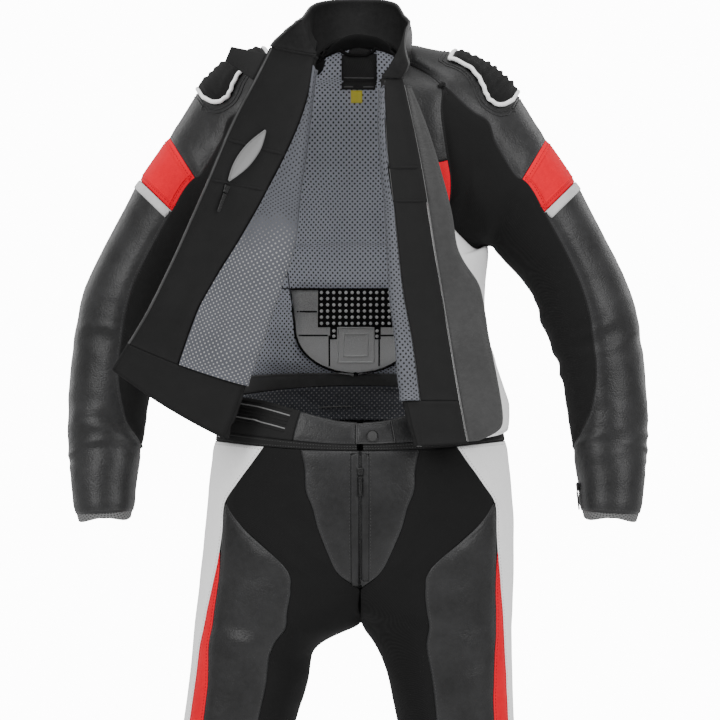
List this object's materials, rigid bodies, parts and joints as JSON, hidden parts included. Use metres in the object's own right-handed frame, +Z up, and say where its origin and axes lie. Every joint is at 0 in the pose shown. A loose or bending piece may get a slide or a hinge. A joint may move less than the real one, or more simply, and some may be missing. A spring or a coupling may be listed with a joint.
{
  "type": "motorcycle suit",
  "caption": "Two-piece leather motorcycle suit: an open raglan jacket with stretch underarms, mesh lining and a back protector over zip-fly trousers",
  "frame": {"origin": "between the shoulders at the base of the neck, where the wearer's shoulders carry the jacket", "axes": "+Z up along the wearer, the front faces -Y, the wearer's left is +X"},
  "size_m": [0.7381, 0.3127, 1.5276],
  "materials": {
    "leather_black": "grained matt black",
    "leather_red": "smooth red",
    "leather_white": "smooth white",
    "stretch": "matt woven stretch",
    "mesh": "blue-grey mesh",
    "facing": "matt black woven",
    "foam": "matt moulded foam",
    "metal": "black painted"
  },
  "bodies": {
    "suit": {"back": "leather_black", "back_protector": "foam", "chest_L": "leather_black", "chest_R": "leather_black", "chest_band_L": "leather_red", "chest_band_R": "leather_red", "collar": "leather_black", "collar_tab": "facing", "cuff_lining_L": "mesh", "cuff_lining_R": "mesh", "facing_L": "facing", "facing_R": "facing", "fly_L": "leather_black", "fly_R": "leather_black", "front_L": "leather_white", "front_R": "leather_white", "front_stretch_L": "stretch", "front_stretch_R": "stretch", "hem_facing_L": "facing", "hem_facing_R": "facing", "leg_back_L": "leather_black", "leg_back_R": "leather_black", "lining_L": "mesh", "lining_R": "mesh", "lining_back": "mesh", "neck_label": "facing", "pocket_bag": "mesh", "red_stripe_L": "leather_red", "red_stripe_R": "leather_red", "shin_L": "leather_black", "shin_R": "leather_black", "shoulder_L": "leather_black", "shoulder_R": "leather_black", "shoulder_flex_L": "stretch", "shoulder_flex_R": "stretch", "sleeve_band_L": "leather_red", "sleeve_band_R": "leather_red", "sleeve_leather_L": "leather_black", "sleeve_leather_R": "leather_black", "sleeve_stretch_L": "stretch", "sleeve_stretch_R": "stretch", "slider_cuff": "metal", "slider_fly": "metal", "slider_pocket": "metal", "snap_button": "metal", "storm_flap": "leather_black", "thigh_L": "leather_black", "thigh_R": "leather_black", "trousers_lining": "mesh", "waist_band_back": "facing", "waist_elastic": "facing", "waist_front_L": "leather_black", "waist_front_R": "leather_black", "waist_seam_band": "facing", "waist_tab": "leather_black", "white_side_L": "leather_white", "white_side_R": "leather_white"},
    "fly_pull": {"pull_fly": "metal"},
    "pocket_pull": {"pull_pocket": "metal"},
    "cuff_pull": {"pull_cuff": "metal"}
  },
  "joints": [
    {"name": "fly_pull_swing", "type": "hinge", "parent": "suit", "child": "fly_pull", "pos_m": [0.00027, -0.10572, -0.53169], "axis": [-1, 0.0082, -0.0005], "range_deg": [0, 110]},
    {"name": "pocket_pull_swing", "type": "hinge", "parent": "suit", "child": "pocket_pull", "pos_m": [-0.16778, -0.16047, -0.17917], "axis": [-0.7705, -0.5388, 0.3406], "range_deg": [0, 110]},
    {"name": "cuff_pull_swing", "type": "hinge", "parent": "suit", "child": "cuff_pull", "pos_m": [0.27444, -0.06369, -0.55123], "axis": [-0.1096, 0.9531, -0.2821], "range_deg": [0, 110]}
  ]
}
